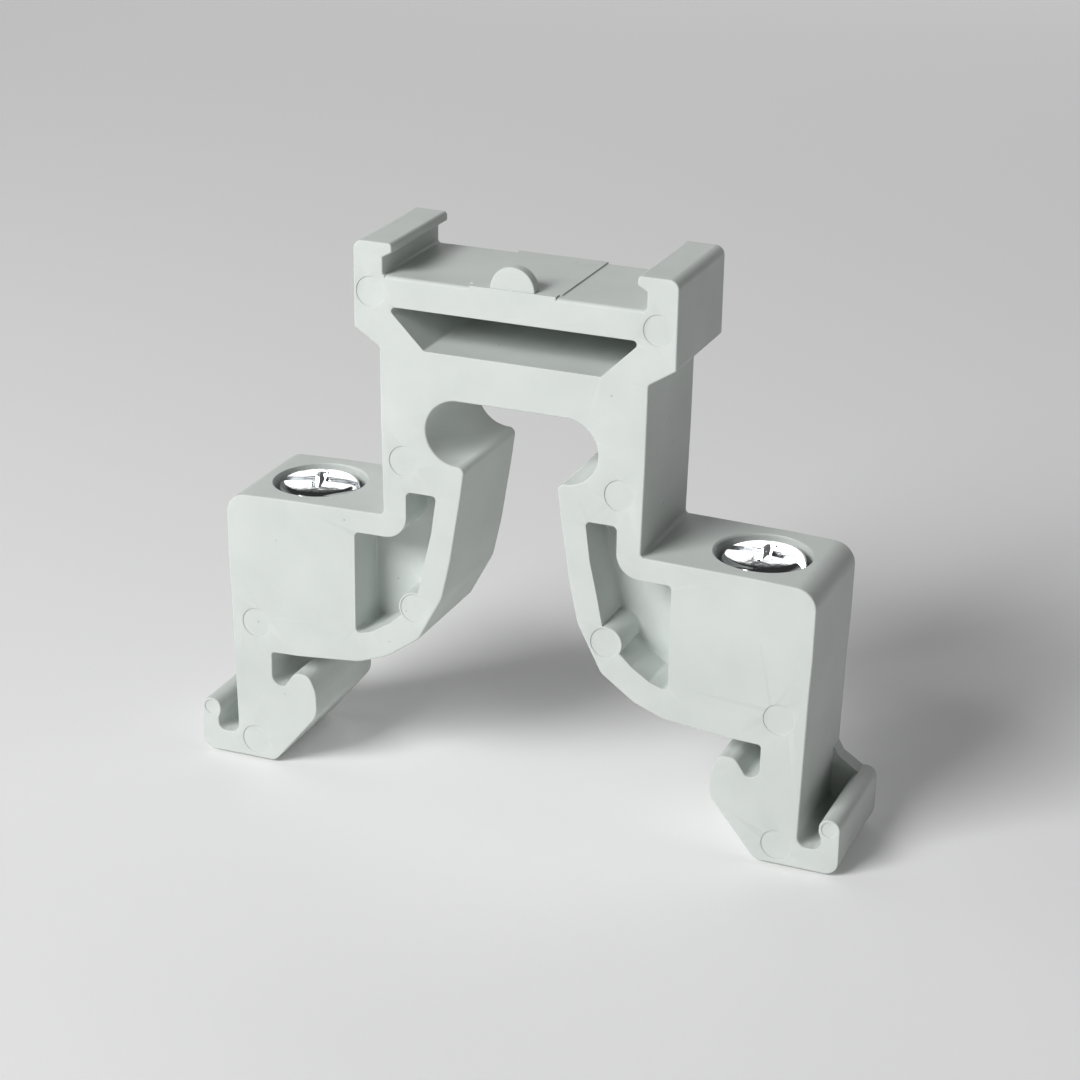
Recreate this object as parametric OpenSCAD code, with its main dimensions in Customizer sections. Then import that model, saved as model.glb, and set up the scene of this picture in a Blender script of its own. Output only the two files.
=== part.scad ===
// Two-screw end clamp for a 35 mm mounting rail (hat section).
// X runs across the rail, Y along it, Z up. The origin is the middle of the
// body at the level of its soles; the face with the larger pocket is at -Y.
// The moulded body is one straight prism across Y with pockets, two
// counterbored screw holes and a web behind each outer groove.

/* [Overall] */
// Length across both feet
body_l = 50.5; // [50:0.1:51.5]
// Thickness along the rail
body_t = 9.5; // [9:0.1:11]
// Height from the soles to the top of the marker tabs
body_h = 41.85; // [41.5:0.05:43]

/* [Marker channel] */
// Half the distance between the outer faces of the two tabs
tab_x = 12.0; // [11.8:0.1:12.4]
// Half the width of the channel at its floor
channel_x = 9.75; // [9.5:0.05:10]
// Depth of the channel below the top of the tabs
channel_d = 2.35; // [2:0.05:2.6]
// How far each lip hangs over the channel
lip = 0.7; // [0.4:0.05:0.9]
// Radius of the half disc that stands at the front of the channel
disc_r = 1.65; // [1.2:0.05:1.9]
// Thickness of the half disc
disc_t = 1.0; // [0.8:0.1:1.4]
// Half the width of the raised middle pad
pad_x = 3.4; // [2.5:0.05:4]
// Height of the raised middle pad
pad_h = 0.1; // [0.05:0.05:0.3]
// Half the width of the pad's narrower strip at the front
strip_x = 3.2; // [2.2:0.05:3.3]
// Depth of that strip
strip_d = 0.65; // [0.4:0.05:1]

/* [Legs and arch] */
// Half the width of the upright, measured at its shoulder
leg_x = 9.85; // [9.6:0.05:10]
// Height of the shoulders
shoulder_z = 21.6; // [21:0.1:22]
// Radius of the round head at the top of the arch
arch_r = 2.43; // [2.2:0.01:2.5]
// Half the width of the arch at its neck
neck_x = 3.5; // [3.3:0.05:3.6]
// Height of the neck
neck_z = 26.17; // [25.9:0.01:26.4]

/* [Rail slots and feet] */
// Half the distance between the closed ends of the rail slots
slot_x = 19.18; // [19:0.01:19.4]
// Half the distance between the noses of the rail hooks
nose_x = 15.5; // [15.3:0.05:15.7]
// Height of the top of the rail hooks
hook_z = 7.65; // [7.4:0.05:7.8]
// Height of the floor of the rail slots
slot_z = 6.4; // [6.2:0.05:6.5]
// Height of the ceiling of the rail slots
ceiling_z = 9.0; // [8.9:0.05:9.2]
// Height of the bottom of the outer grooves
groove_z = 1.73; // [1.5:0.01:1.9]
// Width of the outer grooves
groove_w = 1.7; // [1.5:0.05:1.8]
// Thickness of the web that closes each outer groove at the back
web_t = 1.4; // [1:0.1:2]

/* [Pockets] */
// Depth of the two lower pockets, the same from the front and the back
pocket_d = 3.65; // [2.5:0.05:4]
// Depth of the upper pocket, from the front
upper_d = 8.3; // [3:0.1:8.5]

/* [Screws] */
// Half the distance between the two screws
screw_x = 17.33; // [17.2:0.01:17.4]
// Diameter of the screw's shank, over the thread
shank_d = 3.5; // [3:0.1:3.5]
// Radial play of the shank in its hole
play = 0.05; // [0.02:0.01:0.1]
// Diameter of the screw's head
head_d = 6.0; // [5.6:0.1:6.4]
// Height of the screw's head
head_h = 2.4; // [2:0.1:2.6]
// Diameter of the counterbore round the head
cbore_d = 7.0; // [6.6:0.1:7.2]
// Height of the floor of the counterbore
cbore_z = 17.6; // [17:0.1:18]
// How far the top of the head lies below the shoulder
head_sink = 0; // [0:0.05:0.6]
// Width of the driver slot
drive_w = 0.9; // [0.7:0.1:1.1]

/* [Hidden] */
$fn = 64;

half_l = body_l / 2;                    // outer face of a foot
deck_z = body_h - channel_d;            // floor of the marker channel
foot_x = half_l - 3.05;                 // outer face of a leg, at the groove
top_x  = foot_x + 0.47;                 // the same face at the shoulder
tip_r  = 0.77;                          // rounded tip of the outer hook
tip_z  = groove_z + 2.5;                // top of the outer hook
head_top = shoulder_z - head_sink;
head_bot = head_top - head_h;
tip_of_screw = ceiling_z + 0.05;

// Replaces one corner of an outline by an arc of radius b[2].
function unit(v) = v / norm(v);
function xy(p) = [p[0], p[1]];
function turn(a) = a > 180 ? a - 360 : a < -180 ? a + 360 : a;
function fillet(a, b, c) =
    b[2] == 0 ? [xy(b)] :
    let (u = unit(xy(a) - xy(b)), v = unit(xy(c) - xy(b)),
         half = acos(u * v) / 2,
         m = xy(b) + unit(u + v) * b[2] / sin(half),
         p = xy(b) + u * b[2] / tan(half) - m,
         q = xy(b) + v * b[2] / tan(half) - m,
         a0 = atan2(p[1], p[0]),
         sweep = turn(atan2(q[1], q[0]) - a0),
         n = max(1, ceil(abs(sweep) / 7.5)))
    [for (k = [0:n]) m + b[2] * [cos(a0 + sweep * k / n), sin(a0 + sweep * k / n)]];
function rounded(pts) =
    let (n = len(pts))
    [for (i = [0:n-1]) each fillet(pts[(i + n - 1) % n], pts[i], pts[(i + 1) % n])];
function mirrored(pts) =
    [for (i = [len(pts)-1:-1:0]) [-pts[i][0], pts[i][1], pts[i][2]]];

// Right half of the outline, clockwise from the channel: [x, z, radius].
half_outline = [
    // marker channel and tab
    [channel_x, deck_z, 0.2],
    [channel_x, body_h - 1.05, 0.1],
    [channel_x - lip, body_h - 0.65, 0.1],
    [channel_x - lip, body_h, 0.3],
    [tab_x, body_h, 0.7],
    [tab_x, body_h - 6.35, 0.25],
    // upright and shoulder
    [leg_x + 0.2, body_h - 7.6, 0.3],
    [leg_x + 0.15, 28.7, 0],
    [leg_x, shoulder_z + 0.05, 0.3],
    [screw_x + 0.5, shoulder_z - 0.1, 0],
    [top_x, shoulder_z - 0.3, 1.6],
    // outer face of the leg, slightly tapered
    [top_x - 0.07, 16.2, 0],
    [top_x - 0.2, 13.2, 0],
    [foot_x, 2.6, 0],
    // outer groove and hook
    [foot_x, groove_z, 0.7],
    [foot_x + groove_w, groove_z, 0.6],
    [foot_x + groove_w, groove_z + 0.95, 0.4],
    [half_l - 2 * tip_r, groove_z + 1.45, 0.3],
    [half_l - 2 * tip_r, tip_z, 0.7],
    [half_l, tip_z, tip_r],
    [half_l, 0, 1.0],
    // sole, flank and nose of the rail hook
    [nose_x + 3.6, 0, 0.95],
    [nose_x, 4.4, 1.5],
    [nose_x + 0.05, hook_z - 1.35, 2.5],
    [nose_x + 0.65, hook_z, 0.8],
    [nose_x + 1.83, hook_z, 0.7],
    // rail slot
    [slot_x - 1.0, slot_z, 0.35],
    [slot_x, slot_z, 0.75],
    [slot_x, ceiling_z + 0.02, 0.25],
    // underside and inner face of the leg
    [17.0, ceiling_z + 0.1, 0],
    [14.65, ceiling_z + 0.32, 0],
    [11.9, 9.6, 3],
    [9.6, 10.5, 3],
    [7.1, 12.3, 1.0],
    [5.25, 15.8, 2.5],
    [4.6, 18.7, 12],
    [4.2, 21.3, 0],
    // neck and round head of the arch
    [neck_x + 0.35, 23.5, 0],
    [neck_x, neck_z, 0.5],
    [neck_x + 3.01, neck_z, arch_r],
    [neck_x + 3.01, neck_z + 2 * arch_r, arch_r - 0.001]
];

// Lower pocket, counter-clockwise: [x, z, radius].
lower_pocket = [
    [5.7, 23.65, 0.25],
    [6.1, 20.7, 0],
    [6.68, 18.2, 0],
    [7.15, 15.9, 0.1],
    [8.4, 14.15, 0.1],
    [9.4, 13.2, 2],
    [10.85, 12.25, 2],
    [12.17, 11.85, 0.3],
    [12.17, 19.9, 0.3],
    [8.05, 19.95, 1.75],
    [8.05, 23.65, 0.4]
];
boss_at = [7.4, 14.7];                  // round boss at the pocket's corner
boss_r = 1.25;

// Upper pocket: [x, z, radius].
upper_pocket = [
    [-6.62, 34.4, 0.3], [6.62, 34.4, 0.3],
    [9.5, 37.28, 0.28], [-9.5, 37.28, 0.28]
];

// Stands a flat outline drawn in X and Z upright, from y0 to y1.
module upright(y0, y1)
    translate([0, y1, 0]) rotate([90, 0, 0]) linear_extrude(height = y1 - y0) children();

module outline() polygon(rounded(concat(half_outline, mirrored(half_outline))));

module lower_pocket_2d()
    difference() {
        polygon(rounded(lower_pocket));
        translate(boss_at) circle(r = boss_r);
    }

// Half disc that stands on the pad at the front face.
module half_disc()
    upright(-body_t / 2, -body_t / 2 + disc_t)
        translate([0, deck_z + pad_h]) {
            intersection() {
                circle(r = disc_r);
                translate([-disc_r, 0]) square([2 * disc_r, disc_r]);
            }
            translate([-disc_r, -0.3]) square([2 * disc_r, 0.31]);
        }

// Raised middle of the channel floor, narrower at the front.
module pad() {
    upright(-body_t / 2 + strip_d, body_t / 2)
        translate([-pad_x, deck_z - 0.5]) square([2 * pad_x, 0.5 + pad_h]);
    upright(-body_t / 2, -body_t / 2 + strip_d + 0.1)
        translate([-strip_x, deck_z - 0.5]) square([2 * strip_x, 0.5 + pad_h]);
}

// Web that closes an outer groove at the back, with a sloping top.
module web()
    upright(body_t / 2 - web_t, body_t / 2)
        polygon(rounded([
            [foot_x - 1, groove_z - 1, 0], [half_l - 0.5, groove_z - 1, 0],
            [half_l, 2, 0], [half_l, 3.5, 0.3],
            [foot_x + 0.5, 5.2, 0.4], [foot_x + 0.05, 6.0, 0],
            [foot_x - 1, 6.2, 0]
        ]));

module screw_hole() {
    translate([0, 0, cbore_z]) cylinder(d = cbore_d, h = 10);
    translate([0, 0, ceiling_z - 0.9]) cylinder(d = shank_d + 2 * play, h = 12);
}

module body() color("#D2D7D4")
    difference() {
        union() {
            upright(-body_t / 2, body_t / 2) outline();
            pad();
            half_disc();
            for (m = [0, 1]) mirror([m, 0, 0]) web();
        }
        upright(-body_t / 2 - 1, -body_t / 2 + upper_d) polygon(rounded(upper_pocket));
        for (m = [0, 1]) mirror([m, 0, 0]) {
            upright(-body_t / 2 - 1, -body_t / 2 + pocket_d) lower_pocket_2d();
            upright(body_t / 2 - pocket_d, body_t / 2 + 1) lower_pocket_2d();
            translate([screw_x, 0, 0]) screw_hole();
        }
    }

// Head with a low crown and a rounded rim, a driver slot and a cross recess.
module screw(turned = 0) color("silver")
    rotate([0, 0, turned])
    difference() {
        union() {
            translate([0, 0, head_bot]) rotate_extrude()
                polygon(rounded([
                    [0, 0, 0], [head_d / 2, 0, 0],
                    [head_d / 2, head_h - 0.18, 0.4], [0, head_h, 0]
                ]));
            translate([0, 0, tip_of_screw + 0.4])
                cylinder(d = shank_d, h = head_bot - tip_of_screw - 0.3);
            translate([0, 0, tip_of_screw])
                cylinder(d1 = shank_d - 0.8, d2 = shank_d, h = 0.4);
        }
        // driver slot right across the head
        translate([-head_d, -drive_w / 2, head_top - 1.1]) cube([2 * head_d, drive_w, 2]);
        // cross recess, deeper than the slot
        for (a = [0, 90]) rotate([0, 0, a])
            translate([-1.6, -drive_w / 2, head_top - 1.5]) cube([3.2, drive_w, 2]);
    }

module left_screw() translate([-screw_x, 0, 0]) screw(14);
module right_screw() translate([screw_x, 0, 0]) screw(-4);

body();
left_screw();
right_screw();
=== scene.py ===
import math

import bpy
import bmesh
import numpy as np
from mathutils import Matrix, Vector
from mathutils.geometry import delaunay_2d_cdt


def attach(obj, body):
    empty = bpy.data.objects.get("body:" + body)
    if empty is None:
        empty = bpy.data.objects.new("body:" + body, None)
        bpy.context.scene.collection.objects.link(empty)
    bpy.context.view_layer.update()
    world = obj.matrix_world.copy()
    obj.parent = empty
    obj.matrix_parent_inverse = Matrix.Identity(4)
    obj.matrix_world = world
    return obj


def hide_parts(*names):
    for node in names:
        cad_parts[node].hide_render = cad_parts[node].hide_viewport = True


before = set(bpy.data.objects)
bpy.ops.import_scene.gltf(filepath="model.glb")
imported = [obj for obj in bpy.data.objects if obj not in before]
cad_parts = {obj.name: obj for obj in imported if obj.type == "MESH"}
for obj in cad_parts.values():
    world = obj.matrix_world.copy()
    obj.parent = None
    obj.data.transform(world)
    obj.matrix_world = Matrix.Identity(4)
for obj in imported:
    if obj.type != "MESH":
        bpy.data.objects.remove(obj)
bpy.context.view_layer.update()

MM = 0.001
T = 4.75                      # half the thickness
H, HALF = 41.85, 25.25
DECK, SHOULDER = 39.5, 21.6
FOOT_X, GROOVE_Z, TIP_R = 22.2, 1.73, 0.77
TOP_X = FOOT_X + 0.47
TIP_Z = GROOVE_Z + 2.5
SCREW_X = 17.33
STEP = 4.0


# ---------------------------------------------------------------- outlines
def fillet(a, b, c, step=STEP):
    bx, bz, r = b
    if r == 0:
        return [(bx, bz)]
    ux, uz = a[0] - bx, a[1] - bz
    n = math.hypot(ux, uz)
    ux, uz = ux / n, uz / n
    vx, vz = c[0] - bx, c[1] - bz
    n = math.hypot(vx, vz)
    vx, vz = vx / n, vz / n
    half = math.acos(max(-1, min(1, ux * vx + uz * vz))) / 2
    sx, sz = ux + vx, uz + vz
    n = math.hypot(sx, sz)
    mx, mz = bx + sx / n * r / math.sin(half), bz + sz / n * r / math.sin(half)
    px, pz = bx + ux * r / math.tan(half) - mx, bz + uz * r / math.tan(half) - mz
    qx, qz = bx + vx * r / math.tan(half) - mx, bz + vz * r / math.tan(half) - mz
    a0 = math.atan2(pz, px)
    sw = math.atan2(qz, qx) - a0
    while sw > math.pi:
        sw -= 2 * math.pi
    while sw < -math.pi:
        sw += 2 * math.pi
    k = max(1, math.ceil(abs(math.degrees(sw)) / step))
    return [(mx + r * math.cos(a0 + sw * i / k), mz + r * math.sin(a0 + sw * i / k)) for i in range(k + 1)]


def rounded(pts):
    out = []
    for i in range(len(pts)):
        out += fillet(pts[i - 1], pts[i], pts[(i + 1) % len(pts)])
    return ccw(out)


def ccw(loop):
    """Counter-clockwise, without doubled points."""
    keep = []
    for p in loop:
        if not keep or math.hypot(p[0] - keep[-1][0], p[1] - keep[-1][1]) > 1e-4:
            keep.append(p)
    if math.hypot(keep[0][0] - keep[-1][0], keep[0][1] - keep[-1][1]) < 1e-4:
        keep.pop()
    area = sum(keep[i - 1][0] * keep[i][1] - keep[i][0] * keep[i - 1][1] for i in range(len(keep)))
    return keep if area > 0 else keep[::-1]


def inset(loop, d):
    """Every edge moved inwards by d, a number or one number per point."""
    n = len(loop)
    d = [d] * n if isinstance(d, (int, float)) else d
    out = []
    for i in range(n):
        a, b, c = loop[i - 1], loop[i], loop[(i + 1) % n]
        e1, e2 = (b[0] - a[0], b[1] - a[1]), (c[0] - b[0], c[1] - b[1])
        l1, l2 = math.hypot(*e1), math.hypot(*e2)
        n1, n2 = (-e1[1] / l1, e1[0] / l1), (-e2[1] / l2, e2[0] / l2)
        k = d[i] / (1 + n1[0] * n2[0] + n1[1] * n2[1])
        out.append((b[0] + k * (n1[0] + n2[0]), b[1] + k * (n1[1] + n2[1])))
    return out


def mirrored(pts):
    return [(-p[0],) + tuple(p[1:]) for p in reversed(pts)]


def circle(cx, cz, r, n=72):
    return [(cx + r * math.cos(2 * math.pi * i / n), cz + r * math.sin(2 * math.pi * i / n)) for i in range(n)]


half_outline = [
    (9.75, DECK, 0.2), (9.75, H - 1.05, 0.12), (9.05, H - 0.65, 0.15), (9.05, H, 0.3),
    (12.0, H, 0.7), (12.0, H - 6.35, 0.25), (10.05, H - 7.6, 0.3), (10.0, 28.7, 0),
    (9.85, SHOULDER + 0.05, 0.3), (SCREW_X + 0.5, SHOULDER - 0.1, 0), (TOP_X, SHOULDER - 0.3, 1.6),
    (TOP_X - 0.07, 16.2, 0), (TOP_X - 0.2, 13.2, 0), (FOOT_X, 2.6, 0),
    (FOOT_X, GROOVE_Z, 0.7), (FOOT_X + 1.7, GROOVE_Z, 0.6), (FOOT_X + 1.7, GROOVE_Z + 0.95, 0.4),
    (HALF - 2 * TIP_R, GROOVE_Z + 1.45, 0.3), (HALF - 2 * TIP_R, TIP_Z, 0.7), (HALF, TIP_Z, TIP_R),
    (HALF, 0, 1.0), (19.1, 0, 0.95), (15.5, 4.4, 1.5), (15.55, 6.3, 2.5), (16.15, 7.65, 0.8),
    (17.33, 7.65, 0.7), (18.18, 6.4, 0.35), (19.18, 6.4, 0.75), (19.18, 9.02, 0.25),
    (17.0, 9.1, 0), (14.65, 9.32, 0), (11.9, 9.6, 3), (9.6, 10.5, 3), (7.1, 12.3, 1.0),
    (5.25, 15.8, 2.5), (4.6, 18.7, 12), (4.2, 21.3, 0), (3.85, 23.5, 0), (3.5, 26.17, 0.5),
    (6.51, 26.17, 2.43), (6.51, 31.03, 2.429)]

# lower pocket, with the round boss standing in its lower corner
_boss = [(7.4 + 1.25 * math.cos(math.radians(a)), 14.7 + 1.25 * math.sin(math.radians(a)), 0)
         for a in np.linspace(101.6, -30.3, 34)]
lower_pocket = [(5.7, 23.65, 0.3), (6.1, 20.7, 0), (6.68, 18.2, 0)] + _boss + [
    (9.4, 13.2, 0.6), (10.85, 12.25, 1.2), (12.17, 11.85, 0.35), (12.17, 19.9, 0.35),
    (8.05, 19.95, 1.75), (8.05, 23.65, 0.4)]
upper_pocket = [(-6.62, 34.4, 0.3), (6.62, 34.4, 0.3), (9.5, 37.28, 0.28), (-9.5, 37.28, 0.28)]
MARKS = [(10.68, 38.2, 1.12), (8.2, 25.95, 1.15), (20.4, 11.23, 1.15), (7.4, 14.7, 1.12),
         (20.67, 1.5, 1.14), (24.47, 3.48, 0.58)]


# ---------------------------------------------------------------- mesh tools
class Builder:
    def __init__(self):
        self.v, self.f = [], []

    def ring(self, loop, h, place):
        """One ring of points; h is a height or one height per point."""
        hs = h if isinstance(h, list) else [h] * len(loop)
        first = len(self.v)
        self.v += [place(p[0], p[1], q) for p, q in zip(loop, hs)]
        return list(range(first, first + len(loop)))

    def join(self, a, b):
        n = len(a)
        for i in range(n):
            j = (i + 1) % n
            self.f.append((a[i], a[j], b[j], b[i]))

    def cap(self, outer, holes, coords):
        """Flat face between one ring and the rings in it. coords gives each point's place in the flat."""
        ids = [i for r in [outer] + holes for i in r]
        pts = [Vector(coords[i]) for i in ids]
        edges, k = [], 0
        for r in [outer] + holes:
            edges += [(k + i, k + (i + 1) % len(r)) for i in range(len(r))]
            k += len(r)
        res = delaunay_2d_cdt(pts, edges, [], 0, 1e-7)
        verts, faces, orig = res[0], res[2], res[3]
        loops = [[coords[i] for i in r] for r in [outer] + holes]
        for f in faces:
            c = sum((verts[i] for i in f), Vector((0, 0))) / len(f)
            if not inside(c, loops[0]) or any(inside(c, h) for h in loops[1:]):
                continue
            if any(not orig[i] for i in f):
                raise ValueError("two outlines cross")
            self.f.append(tuple(ids[orig[i][0]] for i in f))

    def make(self, name):
        me = bpy.data.meshes.new(name)
        me.from_pydata([(x * MM, y * MM, z * MM) for x, y, z in self.v], [], self.f)
        bm = bmesh.new()
        bm.from_mesh(me)
        bmesh.ops.remove_doubles(bm, verts=bm.verts, dist=2e-8)
        bmesh.ops.recalc_face_normals(bm, faces=bm.faces)
        bm.to_mesh(me)
        bm.free()
        ob = bpy.data.objects.new(name, me)
        bpy.context.scene.collection.objects.link(ob)
        return ob


def inside(p, loop):
    x, y, odd = p[0], p[1], False
    for i in range(len(loop)):
        (x1, y1), (x2, y2) = loop[i - 1], loop[i]
        if (y1 > y) != (y2 > y) and x < (x2 - x1) * (y - y1) / (y2 - y1) + x1:
            odd = not odd
    return odd


def upright(x, z, y):
    return (x, y, z)


def flat(x, y, z):
    return (x, y, z)


def slab(name, loop, levels, place):
    """Closed body from one outline: levels are (inset, height)."""
    b = Builder()
    rings, loops = [], []
    for d, h in levels:
        q = inset(loop, d) if d else loop
        rings.append(b.ring(q, h, place))
        loops.append(q)
    for r, s in zip(rings, rings[1:]):
        b.join(r, s)
    for r, q in ((rings[0], loops[0]), (rings[-1], loops[-1])):
        b.cap(r, [], dict(zip(r, q)))
    return b.make(name)


def lathe(name, profile, n=96, at=(0, 0)):
    """Closed turned body from (radius, height) pairs, lowest first."""
    b = Builder()
    rings = [b.ring(circle(at[0], at[1], r, n), z, flat) for r, z in profile]
    for r, s in zip(rings, rings[1:]):
        b.join(r, s)
    b.f += [tuple(rings[0]), tuple(rings[-1])]
    return b.make(name)


def cut(ob, tool, how="DIFFERENCE"):
    m = ob.modifiers.new("b", "BOOLEAN")
    m.operation, m.object, m.solver = how, tool, "EXACT"
    dg = bpy.context.evaluated_depsgraph_get()
    me = bpy.data.meshes.new_from_object(ob.evaluated_get(dg))
    ob.modifiers.clear()
    ob.data = me
    bpy.data.objects.remove(tool)


# ---------------------------------------------------------------- the moulding
def recess(b, loop, depth, mouth, floor, side, place=upright):
    """Pocket from the face at side*T inwards. Gives back the ring at its mouth with its places."""
    n = 3
    rings = []
    for i in range(n, -1, -1):
        t = math.pi / 2 * i / n
        rings.append((inset(loop, -mouth * (1 - math.cos(t)) - 1e-6), side * (T - mouth * (1 - math.sin(t)))))
    for i in range(n + 1):
        t = math.pi / 2 * i / n
        rings.append((inset(loop, floor * (1 - math.cos(t)) + 1e-6),
                      side * (T - depth + floor * (1 - math.sin(t)))))
    ids = [b.ring(q, h, place) for q, h in rings]
    for r, s in zip(ids, ids[1:]):
        b.join(r, s)
    b.cap(ids[-1], [], dict(zip(ids[-1], rings[-1][0])))
    return ids[0], dict(zip(ids[0], rings[0][0]))


def soft_edge(p):
    """Radius of the front and back edges at a point of the outline."""
    x, z = abs(p[0]), p[1]
    if z > 39.3 and z < 39.6 and x < 9.6:
        return 0.3
    if x > 23.2 and z < 5:
        return 0.07
    if z > 37 and x > 11.5:
        return 0.1
    if z < 9.5 and 15 < x < 19.5:
        return 0.1
    return 0.13


def build_body():
    b = Builder()
    loop = rounded(half_outline + mirrored(half_outline))
    e = [soft_edge(p) for p in loop]
    n = 5
    for s in (-1, 1):
        rings = []
        for i in range(n + 1):
            t = math.pi / 2 * i / n
            q = inset(loop, [k * (1 - math.cos(t)) for k in e])
            rings.append((q, [s * (T - k * (1 - math.sin(t))) for k in e]))
        ids = [b.ring(q, h, upright) for q, h in rings]
        for r, r2 in zip(ids, ids[1:]):
            b.join(r, r2)
        coords = dict(zip(ids[-1], rings[-1][0]))
        holes = []
        for m in (1, -1):
            lp = ccw([(m * x, z) for x, z in rounded(lower_pocket)])
            r, c = recess(b, lp, 3.65, 0.05, 0.2, s)
            holes.append(r)
            coords.update(c)
            if s < 0:
                for x, z, rad in MARKS:
                    r, c = recess(b, ccw(circle(m * x, z, rad)), 0.07, 0.025, 0.03, s)
                    holes.append(r)
                    coords.update(c)
        if s < 0:
            r, c = recess(b, rounded(upper_pocket), 8.3, 0.06, 0.12, s)
            holes.append(r)
            coords.update(c)
            front = ids[0]
        else:
            b.join(front, ids[0])
        b.cap(ids[-1], holes, coords)
    body = b.make("housing")

    for m in (-1, 1):
        cut(body, lathe("tool", [(1.8, 8.4), (1.8, 17.6), (3.38, 17.6), (3.5, 17.72), (3.5, 21.38),
                                 (3.52, 21.45), (3.57, 21.51), (3.66, 21.57), (3.8, 21.63), (3.8, 23)],
                        at=(m * SCREW_X, 0)))
        web = [(FOOT_X - 1, GROOVE_Z - 1, 0), (HALF - 0.4, GROOVE_Z - 1, 0), (HALF - 0.4, 3.77, 0),
               (FOOT_X + 0.5, 5.2, 0.4), (FOOT_X + 0.05, 6.0, 0), (FOOT_X - 1, 6.2, 0)]
        web = ccw([(m * x, z) for x, z in rounded(web)])
        cut(body, slab("tool", web, [(0, T - 1.4), (0, T - 0.1), (0.03, T - 0.04), (0.08, T - 0.004)], upright), "UNION")
    pad = ccw([(-3.2, -T + 0.004), (3.2, -T + 0.004), (3.2, -4.1), (3.4, -4.0), (3.4, T - 0.004),
               (-3.4, T - 0.004), (-3.4, -4.0), (-3.2, -4.1)])
    cut(body, slab("tool", pad, [(0, 38.7), (0, 39.57), (0.012, 39.592), (0.035, 39.6)], flat), "UNION")
    z0 = 39.6
    disc = ccw([(-1.65, 39.15), (1.65, 39.15)] +
               [(1.65 * math.cos(t), z0 + 1.65 * math.sin(t)) for t in np.linspace(0, math.pi, 61)])
    disc = [(x - 0.05, z) for x, z in disc]
    y0, y1 = -T + 0.12, -T + 1.02
    cut(body, slab("tool", disc, [(0.09, y0), (0.045, y0 + 0.012), (0.012, y0 + 0.045), (0, y0 + 0.09),
                                  (0, y1 - 0.09), (0.012, y1 - 0.045), (0.045, y1 - 0.012), (0.09, y1)],
                   upright), "UNION")
    return body


# ---------------------------------------------------------------- the screws
def build_screw(name, side, turned):
    """Pan head with a driver slot and a cross recess, and a cut thread."""
    n, pitch = 64, 0.6
    prof = []
    for z in np.arange(9.05, 19.2001, 0.05):
        prof.append(float(z))
    b = Builder()
    rings = []
    for z in prof:
        pts = []
        for i in range(n):
            th = 2 * math.pi * i / n
            ph = ((z - 9.05) / pitch - i / n) % 1.0
            k = abs(ph - 0.5) * 2                      # 0 at the crest
            lift = min(1.0, max(0.0, (1 - k) * 1.35 - 0.1))
            fade = min(1.0, (z - 9.05) / 0.5 * 0.9 + 0.05, max(0.0, (18.6 - z) / 0.5))
            r = 1.36 + 0.375 * lift * max(0.0, fade)
            if z < 9.45:
                r = min(r, 1.1 + (z - 9.05) * 0.9)
            if z > 18.6:
                r = 1.5
            pts.append((r * math.cos(th), r * math.sin(th)))
        rings.append(b.ring(pts, z, flat))
    head = [(1.75, 19.2), (2.8, 19.2), (2.93, 19.24), (3.0, 19.36), (3.0, 20.9)]
    for i in range(1, 13):                            # rounded rim
        t = math.radians(84 * i / 12)
        head.append((2.45 + 0.55 * math.cos(t), 20.9 + 0.53 * math.sin(t)))
    rr, zz = head[-1]
    for i in range(1, 13):                            # low crown
        u = i / 12
        r = rr * (1 - u) + 0.02 * u
        head.append((r, zz + (21.59 - zz) * (1 - (r / rr) ** 2)))
    rings += [b.ring(circle(0, 0, r, n), z, flat) for r, z in head]
    for r, s in zip(rings, rings[1:]):
        b.join(r, s)
    b.f += [tuple(rings[0]), tuple(rings[-1])]
    ob = b.make(name)
    ob.data.transform(Matrix.Identity(4))

    # driver slot: flared sides, rounded lips
    def trough(length, w, depth, lip):
        tb = Builder()
        z1 = 21.6
        half = length / 2
        sec = [(w * 0.40, z1 - depth), (w * 0.47, z1 - depth * 0.5), (w * 0.5, z1 - 0.2),
               (w * 0.5 + lip * 0.3, z1 - 0.1), (w * 0.5 + lip, z1), (w * 0.5 + lip * 1.6, z1 + 0.4)]
        secs = [(-x, z) for x, z in reversed(sec)] + sec
        a = [len(tb.v) + i for i in range(len(secs))]
        tb.v += [(-half, x, z) for x, z in secs]
        c = [len(tb.v) + i for i in range(len(secs))]
        tb.v += [(half, x, z) for x, z in secs]
        tb.join(a, c)
        tb.f += [tuple(a), tuple(c)]
        return tb.make("tool")

    cut(ob, trough(8.0, 0.86, 1.05, 0.05))
    for a in (0, 90):
        wing = Builder()
        z1, w = 21.8, 0.42
        top, bot = 1.75, 0.9
        vs = []
        for zz_, half, ww in ((z1, top, w), (20.9, 1.35, 0.38), (20.1, bot, 0.34), (19.95, bot * 0.5, 0.2)):
            vs.append([(half, ww * 0.6, zz_), (half * 0.93, ww, zz_), (-half * 0.93, ww, zz_), (-half, ww * 0.6, zz_),
                       (-half, -ww * 0.6, zz_), (-half * 0.93, -ww, zz_), (half * 0.93, -ww, zz_), (half, -ww * 0.6, zz_)])
        ids = []
        for q in vs:
            ids.append(list(range(len(wing.v), len(wing.v) + 8)))
            wing.v += q
        for r, s in zip(ids, ids[1:]):
            wing.join(r, s)
        wing.f += [tuple(ids[0]), tuple(ids[-1])]
        t = wing.make("tool")
        t.data.transform(Matrix.Rotation(math.radians(a), 4, "Z"))
        cut(ob, t)
    ob.data.transform(Matrix.Translation((side * SCREW_X * MM, 0, 0)) @ Matrix.Rotation(math.radians(turned), 4, "Z"))
    return ob


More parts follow.
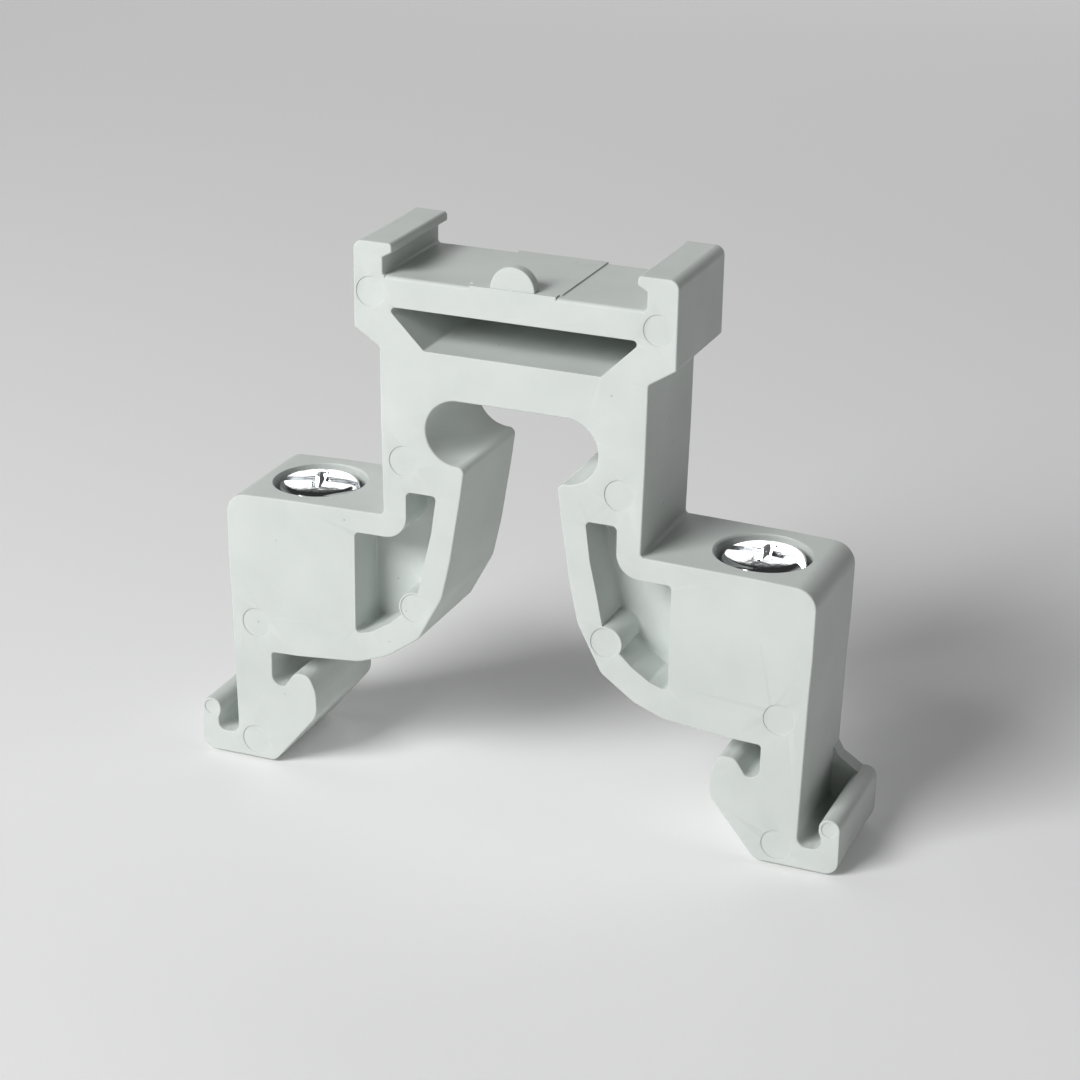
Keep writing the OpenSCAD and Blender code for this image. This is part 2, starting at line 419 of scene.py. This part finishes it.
# ---------------------------------------------------------------- materials
def node(nt, kind, **kw):
    n = nt.nodes.new(kind)
    for k, v in kw.items():
        setattr(n, k, v)
    return n


def plastic():
    m = bpy.data.materials.new("light_grey_polyamide")
    m.use_nodes = True
    nt = m.node_tree
    p = nt.nodes["Principled BSDF"]
    p.inputs["IOR"].default_value = 1.5
    p.inputs["Specular IOR Level"].default_value = 0.35
    co = node(nt, "ShaderNodeTexCoord")
    big = node(nt, "ShaderNodeTexNoise")
    big.inputs["Scale"].default_value = 190
    big.inputs["Detail"].default_value = 4
    fine = node(nt, "ShaderNodeTexNoise")
    fine.inputs["Scale"].default_value = 4200
    fine.inputs["Detail"].default_value = 3
    spk = node(nt, "ShaderNodeTexVoronoi")
    spk.inputs["Scale"].default_value = 420
    for t in (big, fine, spk):
        nt.links.new(co.outputs["Object"], t.inputs["Vector"])
    ramp = node(nt, "ShaderNodeValToRGB")
    ramp.color_ramp.elements[0].position, ramp.color_ramp.elements[1].position = 0.3, 0.72
    ramp.color_ramp.elements[0].color = (0.585, 0.622, 0.598, 1)
    ramp.color_ramp.elements[1].color = (0.645, 0.682, 0.66, 1)
    nt.links.new(big.outputs["Fac"], ramp.inputs["Fac"])
    dots = node(nt, "ShaderNodeValToRGB")
    dots.color_ramp.elements[0].position, dots.color_ramp.elements[1].position = 0.018, 0.05
    dots.color_ramp.elements[0].color = (0.72, 0.72, 0.72, 1)
    dots.color_ramp.elements[1].color = (1, 1, 1, 1)
    nt.links.new(spk.outputs["Distance"], dots.inputs["Fac"])
    mix = node(nt, "ShaderNodeMix", data_type="RGBA", blend_type="MULTIPLY")
    mix.inputs["Factor"].default_value = 1
    nt.links.new(ramp.outputs["Color"], mix.inputs["A"])
    nt.links.new(dots.outputs["Color"], mix.inputs["B"])
    nt.links.new(mix.outputs["Result"], p.inputs["Base Color"])
    rr = node(nt, "ShaderNodeMapRange")
    rr.inputs["To Min"].default_value, rr.inputs["To Max"].default_value = 0.48, 0.66
    nt.links.new(fine.outputs["Fac"], rr.inputs["Value"])
    nt.links.new(rr.outputs["Result"], p.inputs["Roughness"])
    bump = node(nt, "ShaderNodeBump")
    bump.inputs["Strength"].default_value = 0.25
    bump.inputs["Distance"].default_value = 0.00003
    nt.links.new(fine.outputs["Fac"], bump.inputs["Height"])
    nt.links.new(bump.outputs["Normal"], p.inputs["Normal"])
    return m


def zinc():
    m = bpy.data.materials.new("bright_zinc")
    m.use_nodes = True
    nt = m.node_tree
    p = nt.nodes["Principled BSDF"]
    p.inputs["Metallic"].default_value = 1.0
    co = node(nt, "ShaderNodeTexCoord")
    a = node(nt, "ShaderNodeTexNoise")
    a.inputs["Scale"].default_value = 700
    a.inputs["Detail"].default_value = 3
    c = node(nt, "ShaderNodeTexNoise")
    c.inputs["Scale"].default_value = 2600
    c.inputs["Detail"].default_value = 4
    for t in (a, c):
        nt.links.new(co.outputs["Object"], t.inputs["Vector"])
    ramp = node(nt, "ShaderNodeValToRGB")
    ramp.color_ramp.elements[0].color = (0.74, 0.76, 0.77, 1)
    ramp.color_ramp.elements[1].color = (0.93, 0.94, 0.95, 1)
    nt.links.new(a.outputs["Fac"], ramp.inputs["Fac"])
    nt.links.new(ramp.outputs["Color"], p.inputs["Base Color"])
    rr = node(nt, "ShaderNodeMapRange")
    rr.inputs["To Min"].default_value, rr.inputs["To Max"].default_value = 0.05, 0.17
    nt.links.new(c.outputs["Fac"], rr.inputs["Value"])
    nt.links.new(rr.outputs["Result"], p.inputs["Roughness"])
    bump = node(nt, "ShaderNodeBump")
    bump.inputs["Strength"].default_value = 0.5
    bump.inputs["Distance"].default_value = 0.00006
    nt.links.new(a.outputs["Fac"], bump.inputs["Height"])
    nt.links.new(bump.outputs["Normal"], p.inputs["Normal"])
    return m


def smooth(ob, angle=28):
    me = ob.data
    bm = bmesh.new()
    bm.from_mesh(me)
    bmesh.ops.remove_doubles(bm, verts=bm.verts, dist=3e-8)
    bmesh.ops.dissolve_degenerate(bm, edges=bm.edges, dist=1e-8)
    for f in bm.faces:
        f.smooth = True
    for e in bm.edges:
        e.smooth = len(e.link_faces) == 2 and e.calc_face_angle(3.2) < math.radians(angle)
    bm.to_mesh(me)
    bm.free()
    w = ob.modifiers.new("normals", "WEIGHTED_NORMAL")
    w.keep_sharp = True
    w.weight = 60


body = build_body()
smooth(body)
body.data.materials.clear()
body.data.materials.append(plastic())
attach(body, "clamp_body")
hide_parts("body")

metal = zinc()
for nm, nd, side, turned in (("screw_left", "left_screw", -1, 14), ("screw_right", "right_screw", 1, -4)):
    s = build_screw(nm, side, turned)
    smooth(s, 35)
    s.data.materials.clear()
    s.data.materials.append(metal)
    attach(s, nd)
    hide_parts(nd)

# ---------------------------------------------------------------- stage, light, camera
me = bpy.data.meshes.new("floor")
me.from_pydata([(-3, -3, -0.0002), (3, -3, -0.0002), (3, 3, -0.0002), (-3, 3, -0.0002)], [], [(0, 1, 2, 3)])
floor = bpy.data.objects.new("floor", me)
bpy.context.scene.collection.objects.link(floor)
fm = bpy.data.materials.new("pale_floor")
fm.use_nodes = True
fm.node_tree.nodes["Principled BSDF"].inputs["Base Color"].default_value = (0.9, 0.9, 0.9, 1)
fm.node_tree.nodes["Principled BSDF"].inputs["Roughness"].default_value = 0.9
fm.node_tree.nodes["Principled BSDF"].inputs["Emission Color"].default_value = (1, 1, 1, 1)
fm.node_tree.nodes["Principled BSDF"].inputs["Emission Strength"].default_value = 0.06
me.materials.append(fm)

scene = bpy.context.scene
scene.view_settings.view_transform = "Standard"
world = bpy.data.worlds.new("studio")
scene.world = world
world.use_nodes = True
wn = world.node_tree
bg = wn.nodes["Background"]
tc = node(wn, "ShaderNodeTexCoord")
sep = node(wn, "ShaderNodeSeparateXYZ")
wn.links.new(tc.outputs["Generated"], sep.inputs["Vector"])
wr = node(wn, "ShaderNodeValToRGB")
wr.color_ramp.elements[0].position, wr.color_ramp.elements[0].color = 0.0, (1, 1, 1, 1)
wr.color_ramp.elements[1].position, wr.color_ramp.elements[1].color = 0.95, (0.2, 0.2, 0.2, 1)
el = wr.color_ramp.elements.new(0.4)
el.color = (1, 1, 1, 1)
el = wr.color_ramp.elements.new(0.6)
el.color = (0.2, 0.2, 0.2, 1)
wn.links.new(sep.outputs["Z"], wr.inputs["Fac"])
wn.links.new(wr.outputs["Color"], bg.inputs["Color"])
bg.inputs["Strength"].default_value = 0.16


def area(name, at, to, size, power):
    d = bpy.data.lights.new(name, "AREA")
    d.shape, d.size, d.size_y, d.energy = "RECTANGLE", size[0], size[1], power
    o = bpy.data.objects.new(name, d)
    scene.collection.objects.link(o)
    o.location = at
    o.rotation_euler = (Vector(to) - Vector(at)).to_track_quat("-Z", "Y").to_euler()


area("key", (-0.20, -0.38, 0.31), (0, 0, 0.02), (0.26, 0.20), 2.6)
area("back", (-0.05, 0.60, 0.24), (0, 0, 0.02), (0.9, 0.30), 1.3)

R = Vector((0.92502, 0.37967, 0.01399))
U = Vector((-0.15545, 0.34462, 0.92578))
B = Vector((0.34667, -0.85854, 0.37779))
C = (R * 0.653 + U * 18.107 + B * 202.14) * MM
cam_data = bpy.data.cameras.new("camera")
cam_data.sensor_width = 36
cam_data.lens = 2690.6 / 1080 * 36
cam_data.clip_start, cam_data.clip_end = 0.01, 20
cam = bpy.data.objects.new("camera", cam_data)
scene.collection.objects.link(cam)
cam.matrix_world = Matrix(((R.x, U.x, B.x, C.x), (R.y, U.y, B.y, C.y), (R.z, U.z, B.z, C.z), (0, 0, 0, 1)))
scene.camera = cam
